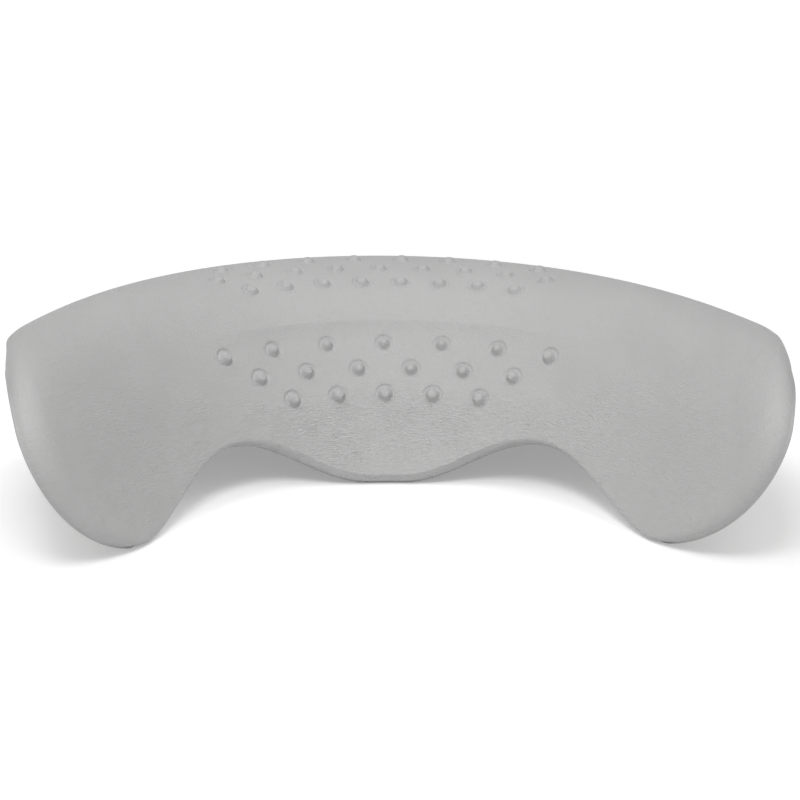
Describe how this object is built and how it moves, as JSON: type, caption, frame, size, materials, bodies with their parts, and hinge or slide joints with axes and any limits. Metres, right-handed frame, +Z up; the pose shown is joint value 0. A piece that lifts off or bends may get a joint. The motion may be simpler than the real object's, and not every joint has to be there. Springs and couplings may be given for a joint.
{
  "type": "bath pillow",
  "caption": "Wrap-around moulded foam neck pillow for a spa or bath, with a nubbed face, two arches over neck jets and push pins in its concave back.",
  "frame": {"origin": "on the rest plane, under the middle of the pillow's bounding box", "axes": "+X to the right along the width, +Y from the face to the back, +Z up"},
  "size_m": [0.388, 0.2758, 0.1016],
  "materials": {
    "skin": "satin",
    "back_skin": "satin",
    "foam": "matte",
    "insert": "matte",
    "pin": "satin"
  },
  "bodies": {
    "pillow": {"front_skin": "skin", "foam_core": "foam", "back_skin": "back_skin", "insert_left_wing": "insert", "insert_left_middle": "insert", "insert_right_middle": "insert", "insert_right_wing": "insert"},
    "push_pin_left_wing": {"pin_left_wing": "pin"},
    "push_pin_left_middle": {"pin_left_middle": "pin"},
    "push_pin_right_middle": {"pin_right_middle": "pin"},
    "push_pin_right_wing": {"pin_right_wing": "pin"}
  },
  "joints": [
    {"name": "pull_left_wing", "type": "slide", "parent": "pillow", "child": "push_pin_left_wing", "axis": [-0.7399, 0.3628, -0.5666], "range_m": [0, 0.012]},
    {"name": "pull_left_middle", "type": "slide", "parent": "pillow", "child": "push_pin_left_middle", "axis": [-0.3207, 0.6957, -0.6428], "range_m": [0, 0.012]},
    {"name": "pull_right_middle", "type": "slide", "parent": "pillow", "child": "push_pin_right_middle", "axis": [0.3207, 0.6957, -0.6428], "range_m": [0, 0.012]},
    {"name": "pull_right_wing", "type": "slide", "parent": "pillow", "child": "push_pin_right_wing", "axis": [0.7399, 0.3628, -0.5666], "range_m": [0, 0.012]}
  ]
}
